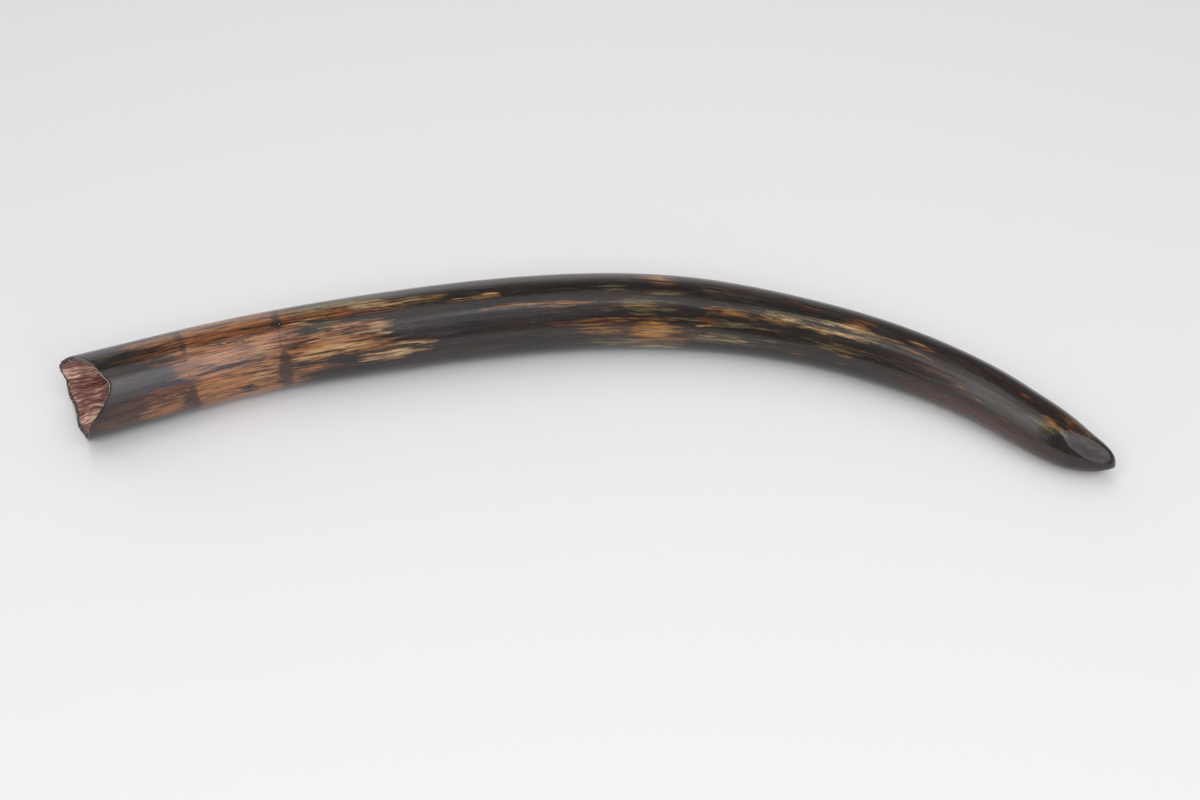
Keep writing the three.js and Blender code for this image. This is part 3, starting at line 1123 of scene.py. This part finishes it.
def hairline_group() -> bpy.types.NodeTree:
    """Thin lines along the grain: 1 where the streaks pass their middle value, 0 beyond Width from it.

    Returns:
        The node group.
    """
    group, tree, source, sink = new_group("grain_hairlines", {"Streak": 0.5, "Width": 0.05}, "Line")
    away = tree.maths("ABSOLUTE", tree.maths("SUBTRACT", source.outputs["Streak"], 0.5))
    inputs = {"Value": away, "From Max": source.outputs["Width"], "To Min": 1.0, "To Max": 0.0}
    line = tree.add("ShaderNodeMapRange", inputs, interpolation_type="SMOOTHSTEP")
    tree.tree.links.new(line.outputs[0], sink)
    return group


@dataclass(frozen=True)
class Groups:
    """The node groups that the finishes use."""

    streak: bpy.types.NodeTree
    ragged: bpy.types.NodeTree
    hairline: bpy.types.NodeTree


@dataclass(frozen=True)
class Dye:
    """How one stain looks: its deep and bright colours, how solid it is and how the grain tears it.

    Along and across are the tears' scales in cells per metre, bite is how far they reach, gain is how fast
    the stain fades at its edge, and softness is how soft the tears are.
    """

    stain: Stain
    deep: Colour
    bright: Colour
    solid: float
    along: float = 26.0
    across: float = 260.0
    bite: float = 2.6
    gain: float = 2.0
    softness: float = 0.45


@dataclass(frozen=True)
class PolishedSkin:
    """The tusk's outside: black-brown ivory, hand polished, with stains that run with the grain.

    rubbing is how much rougher the worn flat is. Each set of hairlines has its scales along and across the
    grain, its width and its strength.
    """

    shape: TuskShape = TuskShape()
    black: Colour = tint(24, 23, 23)
    umber: Colour = tint(54, 48, 45)
    band: Colour = tint(44, 34, 32)
    hairline: Colour = tint(44, 28, 21)
    pale_crack: Colour = tint(186, 176, 162)
    dark_crack: Colour = tint(18, 13, 11)
    # Painted highlight: the pale colour of the rim's lit edge.
    rim_line: Colour = tint(158, 150, 140)
    worn: Colour = tint(50, 48, 52)
    worn_fleck: Colour = tint(86, 76, 71)
    roughness: Pair = (0.17, 0.29)
    rubbing: float = 0.16
    ior: float = 1.54
    tear_detail: float = 3.0
    tear_crispness: float = 0.64
    hairlines: tuple[tuple[float, float, float, float], ...] = ((6, 130, 0.14, 0.9), (14, 270, 0.18, 0.8))
    dyes: tuple[Dye, ...] = (
        Dye(Stain.RED, tint(44, 30, 27), tint(90, 57, 46), 0.85, 18, 150, 1.8, 1.4, 0.8),
        Dye(Stain.OLIVE, tint(54, 48, 33), tint(140, 125, 87), 0.8, 28, 400, 2.6, 1.4, 0.5),
        Dye(Stain.GOLD, tint(78, 50, 26), tint(176, 122, 60), 0.92, 26, 420, 2.8, 1.4, 0.35),
        Dye(Stain.AMBER, tint(88, 52, 32), tint(178, 118, 74), 0.92, 24, 360, 2.4, 1.6, 0.35),
        Dye(Stain.RUST, tint(70, 38, 20), tint(146, 84, 44), 0.85, 20, 320, 2.4, 1.5, 0.4),
        Dye(Stain.CREAM, tint(150, 114, 74), tint(212, 180, 134), 0.92, 28, 460, 3.0, 1.5, 0.25),
        Dye(Stain.BLACK, tint(15, 14, 15), tint(29, 26, 26), 0.94, 24, 380, 2.6, 1.6, 0.35),
    )

    def material(self, groups: Groups) -> bpy.types.Material:
        """Builds the skin's material.

        Args:
            groups: The shared node groups.

        Returns:
            The material.
        """
        made = bpy.data.materials.new("polished_ivory")
        made.use_nodes = True
        made.node_tree.nodes.clear()
        tree = Tree(made.node_tree)
        broad = tree.group(groups.streak, {"Along": 7.0, "Across": 75.0})
        fine = tree.group(groups.streak, {"Along": 30.0, "Across": 460.0, "Shift": 7.3})
        fibre = tree.group(groups.streak, {"Along": 70.0, "Across": 1300.0, "Detail": 1.0, "Shift": 3.1})
        colour = self.ground(tree, broad, fine)
        flecked = tree.blend(tree.step(fine, 0.3, 0.9), self.worn, self.worn_fleck)
        colour = tree.blend(tree.times(tree.field("worn"), 0.8), colour, flecked)
        for index, dye in enumerate(self.dyes):
            colour = self.dyed(tree, groups, dye, 11.0 + 5 * index, colour, fine)
        colour = self.lines(tree, groups, colour, fine)
        colour = self.fibres(tree, colour, fibre)
        fringe = tree.group(groups.streak, {"Along": 60.0, "Across": 300.0, "Detail": 2.0, "Shift": 4.7})
        colour = self.marks(tree, colour, fringe, fine)
        polish = tree.step(tree.times(broad, fine), 0.05, 0.6, self.roughness)
        rough = tree.sum(polish, tree.times(tree.field("rubbed"), self.rubbing))
        bump = self.relief(tree, fibre, fine)
        inputs = {"Base Color": colour, "Roughness": rough, "IOR": self.ior, "Normal": bump}
        shader = tree.add("ShaderNodeBsdfPrincipled", inputs)
        tree.add("ShaderNodeOutputMaterial", {"Surface": shader.outputs[0]})
        return made

    def ground(self, tree: Tree, broad: Any, fine: Any) -> bpy.types.NodeSocket:
        """Colour under the stains: black and umber in broad streaks, broken by the fine ones."""
        share = tree.sum(tree.times(broad, 0.6), tree.times(fine, 0.4))
        return tree.blend(tree.step(share, 0.35, 0.85), self.black, self.umber)

    def dyed(
        self, tree: Tree, groups: Groups, dye: Dye, shift: float, under: Any, fine: Any
    ) -> bpy.types.NodeSocket:
        """Colour with one stain over it.

        Args:
            tree: The material's tree.
            groups: The shared node groups.
            dye: The stain's look.
            shift: Moves the stain's own streaks away from those of the others.
            under: The colour below.
            fine: The streaks that vary its colour.

        Returns:
            The colour.
        """
        field = tree.field(dye.stain.value)
        tears = {
            "Along": dye.along,
            "Across": dye.across,
            "Detail": self.tear_detail,
            "Crispness": self.tear_crispness,
            "Shift": shift,
        }
        breakup = tree.group(groups.streak, tears)
        edge = {
            "Field": field,
            "Gain": dye.gain,
            "Breakup": breakup,
            "Bite": dye.bite,
            "Softness": dye.softness,
        }
        mask = tree.group(groups.ragged, edge)
        depth = tree.sum(tree.times(field, 0.4), tree.times(fine, 0.5))
        depth = tree.sum(depth, tree.times(breakup, 0.4))
        own = tree.blend(tree.step(depth, 0.25, 1.1), dye.deep, dye.bright)
        return tree.blend(tree.times(mask, dye.solid), under, own)

    def lines(self, tree: Tree, groups: Groups, under: Any, fine: Any) -> bpy.types.NodeSocket:
        """Colour with the dark hairlines of the grain drawn over it at two scales.

        Args:
            tree: The material's tree.
            groups: The shared node groups.
            under: The colour below.
            fine: The streaks that break the lines up.

        Returns:
            The colour.
        """
        colour = under
        for along, across, width, strength in self.hairlines:
            look = {"Along": along, "Across": across, "Detail": 2.0, "Shift": along}
            streaks = tree.group(groups.streak, look)
            line = tree.group(groups.hairline, {"Streak": streaks, "Width": width})
            share = tree.times(line, tree.step(fine, 0.2, 0.8, (1.0, 0.3)))
            colour = tree.blend(tree.times(share, strength), colour, self.hairline)
        return colour

    def fibres(self, tree: Tree, under: Any, fibre: Any) -> bpy.types.NodeSocket:
        """Colour with the thinnest dark fibres drawn over it.

        Args:
            tree: The material's tree.
            under: The colour below.
            fibre: The streaks of the fibres.

        Returns:
            The colour.
        """
        shade = tree.step(fibre, 0.0, 0.6, (0.6, 1.0))
        grey = tree.add("ShaderNodeCombineColor", {0: shade, 1: shade, 2: shade}).outputs[0]
        return tree.blend(0.8, under, grey, "MULTIPLY")

    def marks(self, tree: Tree, under: Any, fringe: Any, fine: Any) -> bpy.types.NodeSocket:
        """Colour with the dark growth bands, the two cracks, the knots and the painted highlight on the thin
        rim's edge.

        Args:
            tree: The material's tree.
            under: The colour below.
            fringe: The short streaks that fray the bands' edges.
            fine: The streaks that make the knots uneven.

        Returns:
            The colour.
        """
        ragged = tree.sum(tree.field("band"), tree.times(fringe, 0.9))
        colour = tree.blend(tree.step(ragged, 0.6, 1.4, (0, 0.85)), under, self.band)
        crack = tree.reach("crack_0")
        pale = tree.step(crack, 0.15, 0.55, (0.65, 0))
        colour = tree.blend(tree.step(crack, 0.5, 1.4, (0.5, 0)), colour, self.dark_crack)
        colour = tree.blend(tree.times(pale, tree.step(fringe, 0.35, 0.6)), colour, self.pale_crack)
        colour = tree.blend(tree.step(tree.reach("crack_1"), 0.4, 1.4, (0.85, 0)), colour, self.dark_crack)
        spot = tree.sum(self.knots(tree), tree.times(fine, 0.5))
        colour = tree.blend(tree.step(spot, 1.2, 2.2, (0.7, 0)), colour, self.dark_crack)
        colour = tree.blend(tree.step(spot, 0.4, 1.1, (0.3, 0)), colour, self.pale_crack)
        # Painted highlight along the rim's edge.
        return tree.blend(tree.field("rim_glint"), colour, self.rim_line)

    def knots(self, tree: Tree) -> bpy.types.NodeSocket:
        """Distance to the nearest knot, in its own radii, and no more than 9.

        Args:
            tree: The material's tree.

        Returns:
            The distance.
        """
        place = tree.add("ShaderNodeAttribute", attribute_name="grain").outputs["Vector"]
        nearest: Any = 9.0
        for knot in KNOTS:
            inputs = {0: place, 1: knot.place(self.shape)}
            away = tree.add("ShaderNodeVectorMath", inputs, operation="DISTANCE").outputs["Value"]
            nearest = tree.maths("MINIMUM", nearest, tree.times(away, 1 / (knot.radius * MM)))
        return nearest

    def relief(self, tree: Tree, fibre: Any, fine: Any) -> bpy.types.NodeSocket:
        """Normal from the fibres, the fine streaks and the sunk cracks.

        Args:
            tree: The material's tree.
            fibre: The streaks of the fibres.
            fine: The fine streaks.

        Returns:
            The normal.
        """
        height = tree.sum(tree.times(fibre, 0.35), tree.times(fine, 0.65))
        crack = tree.maths("MINIMUM", tree.reach("crack_0"), tree.reach("crack_1"))
        height = tree.sum(height, tree.step(crack, 0.1, 0.9, (-2.0, 0)))
        inputs = {"Height": height, "Strength": 0.35, "Distance": 0.00012}
        return tree.add("ShaderNodeBump", inputs).outputs[0]


@dataclass(frozen=True)
class CavityLining:
    """The pulp cavity's wall: unpolished, copper-pink, drawn out in wavy ribs, with a dark broken edge."""

    deep: Colour = tint(88, 53, 47)
    copper: Colour = tint(150, 102, 92)
    pink: Colour = tint(244, 212, 188)
    edge_dark: Colour = tint(40, 35, 33)
    edge_pale: Colour = tint(168, 154, 138)
    roughness: float = 0.5

    def material(self, groups: Groups) -> bpy.types.Material:
        """Builds the lining's material.

        Args:
            groups: The shared node groups.

        Returns:
            The material.
        """
        made = bpy.data.materials.new("cavity_ivory")
        made.use_nodes = True
        made.node_tree.nodes.clear()
        tree = Tree(made.node_tree)
        ribs = tree.group(groups.streak, {"Along": 40.0, "Across": 330.0, "Detail": 2.0, "Shift": 2.0})
        threads = tree.group(groups.streak, {"Along": 70.0, "Across": 760.0, "Detail": 1.0, "Shift": 9.0})
        broad = tree.group(groups.streak, {"Along": 18.0, "Across": 60.0, "Detail": 1.0, "Shift": 5.0})
        tone = tree.sum(tree.times(ribs, 0.45), tree.times(threads, 0.6))
        tone = tree.sum(tone, tree.times(tree.maths("SUBTRACT", broad, 0.5), 0.5))
        # Painted light and shade: the cavity wall is made paler or darker by phi.
        tone = tree.sum(tone, tree.field("cavity_painted_light"))
        colour = tree.blend(tree.step(tone, 0.1, 0.65), self.deep, self.copper)
        colour = tree.blend(tree.step(tone, 0.55, 1.0), colour, self.pink)
        edge = tree.blend(tree.step(threads, 0.6, 1.0), self.edge_dark, self.edge_pale)
        colour = tree.blend(tree.field("broken"), colour, edge)
        height = tree.sum(ribs, tree.times(threads, 0.5))
        bump = tree.add("ShaderNodeBump", {"Height": height, "Strength": 0.7, "Distance": 0.0006})
        inputs = {"Base Color": colour, "Roughness": self.roughness, "Normal": bump.outputs[0]}
        shader = tree.add("ShaderNodeBsdfPrincipled", inputs)
        tree.add("ShaderNodeOutputMaterial", {"Surface": shader.outputs[0]})
        return made


@dataclass(frozen=True)
class Softbox:
    """A flat rectangular light that faces a point near the tusk.

    mirrored is whether it shows in the tusk's polish. Places and sizes are in metres.
    """

    name: str
    place: Place
    size: Pair
    watts: float
    aim: Place = (0, 0, 0)
    colour: Colour = (1.0, 1.0, 1.0)
    mirrored: bool = True

    def build(self) -> bpy.types.Object:
        """Makes the light and turns it to its aim.

        Returns:
            The light's object.
        """
        lamp = bpy.data.lights.new(self.name, "AREA")
        lamp.shape = "RECTANGLE"
        lamp.size, lamp.size_y = self.size
        lamp.energy = self.watts
        lamp.color = self.colour
        thing = bpy.data.objects.new(self.name, lamp)
        thing.location = self.place
        thing.rotation_euler = (Vector(self.aim) - Vector(self.place)).to_track_quat("-Z", "Y").to_euler()
        thing.visible_glossy = self.mirrored
        bpy.context.scene.collection.objects.link(thing)
        return thing


@dataclass(frozen=True)
class Studio:
    """The camera, the lights, the pale floor and the room around them, in metres and degrees."""

    camera_target: Place = (0.0140, -0.0095, 0.0)
    camera_azimuth: float = 3.7
    camera_elevation: float = 45
    camera_distance: float = 2.3333
    lens: float = 70
    floor_radius: float = 9
    floor_colour: Colour = (0.765, 0.769, 0.776)
    room_pale: Colour = (1.1, 1.08, 1.07)
    room_dark: Colour = (0.20, 0.195, 0.195)
    softboxes: tuple[Softbox, ...] = (
        Softbox("overhead", (-0.3, -0.1, 2.6), (1.4, 1.3), 5.5),
        Softbox("right_high", (1.15, -1.48, 3.52), (0.85, 1.5), 14.5, colour=(0.95, 0.96, 1.05)),
        Softbox("right_middle", (1.77, -2.44, 2.62), (1.4, 1.5), 16.8, colour=(0.94, 0.96, 1.07)),
        Softbox("right_low", (2.19, -3.13, 1.17), (1.9, 1.75), 15, colour=(0.93, 0.95, 1.08)),
        Softbox("left_high", (-1.48, -1.15, 3.52), (0.8, 1.5), 8.6),
        Softbox("left_middle", (-2.24, -2.01, 2.62), (1.3, 1.5), 14),
        Softbox("left_low", (-2.84, -2.55, 1.17), (1.7, 1.75), 12),
        Softbox("right_side", (2.25, -1.05, 3.12), (1.2, 1.2), 12),
        Softbox("ceiling_fill", (0.0, 1.3, 3.0), (3.0, 3.0), 28, colour=(1.02, 1.0, 0.98), mirrored=False),
        Softbox("front_fill", (0.1, -2.6, 2.6), (3.6, 1.6), 51, colour=(1.02, 1.0, 0.98), mirrored=False),
    )

    def camera(self) -> None:
        """Places the camera on its sphere round the target and makes it the scene's."""
        azimuth, elevation = math.radians(self.camera_azimuth), math.radians(self.camera_elevation)
        level = math.cos(elevation)
        away = Vector((math.sin(azimuth) * level, -math.cos(azimuth) * level, math.sin(elevation)))
        lens = bpy.data.cameras.new("camera")
        lens.lens = self.lens
        camera = bpy.data.objects.new("camera", lens)
        camera.location = Vector(self.camera_target) + away * self.camera_distance
        camera.rotation_euler = (-away).to_track_quat("-Z", "Y").to_euler()
        bpy.context.scene.collection.objects.link(camera)
        bpy.context.scene.camera = camera

    def floor(self) -> None:
        """Makes the round floor, with a matt, pale finish."""
        turn = np.linspace(0, 2 * np.pi, 96, endpoint=False)
        rim = np.stack([np.cos(turn), np.sin(turn), np.zeros_like(turn)], axis=-1) * self.floor_radius
        mesh = bpy.data.meshes.new("floor")
        mesh.from_pydata(rim.tolist(), [], [list(range(len(rim)))])
        made = bpy.data.materials.new("pale_floor")
        made.use_nodes = True
        shader = made.node_tree.nodes["Principled BSDF"]
        shader.inputs["Base Color"].default_value = rgba(self.floor_colour)
        shader.inputs["Roughness"].default_value = 0.9
        mesh.materials.append(made)
        floor = bpy.data.objects.new("floor", mesh)
        bpy.context.scene.collection.objects.link(floor)

    def room(self) -> None:
        """Lights the world: dark, but for a pale low wall behind, which is higher and paler on the left."""
        world = bpy.data.worlds.new("room")
        world.use_nodes = True
        bpy.context.scene.world = world
        tree = Tree(world.node_tree)
        direction = tree.add("ShaderNodeTexCoord").outputs["Generated"]
        part = tree.add("ShaderNodeSeparateXYZ", {0: direction}).outputs
        height = tree.sum(part["Z"], tree.times(part["X"], 0.45))
        low = tree.step(height, 0.1, 0.6, (1.0, 0.0))
        left = tree.step(part["X"], -0.1, 0.25, (1.0, 0.3))
        behind = tree.times(tree.step(part["Y"], -0.1, 0.4), left)
        colour = tree.blend(tree.times(low, behind), self.room_dark, self.room_pale)
        background = world.node_tree.nodes["Background"]
        world.node_tree.links.new(colour, background.inputs["Color"])

    def build(self) -> None:
        """Builds the camera, the floor, the room and the softboxes."""
        bpy.context.scene.view_settings.view_transform = "Standard"
        self.camera()
        self.floor()
        self.room()
        for softbox in self.softboxes:
            softbox.build()


def main() -> None:
    """Builds the studio and the tusk, and ties the tusk to its solid."""
    logging.basicConfig(level=logging.INFO, format="%(name)s: %(message)s")
    Studio().build()
    groups = Groups(streak_group(), ragged_group(), hairline_group())
    piece = Tusk().build()
    piece.data.materials.append(PolishedSkin().material(groups))
    piece.data.materials.append(CavityLining().material(groups))
    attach(piece, "root")
    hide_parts("tusk")
    LOG.info("%s has %d faces", piece.name, len(piece.data.polygons))


if __name__ == "__main__":
    main()
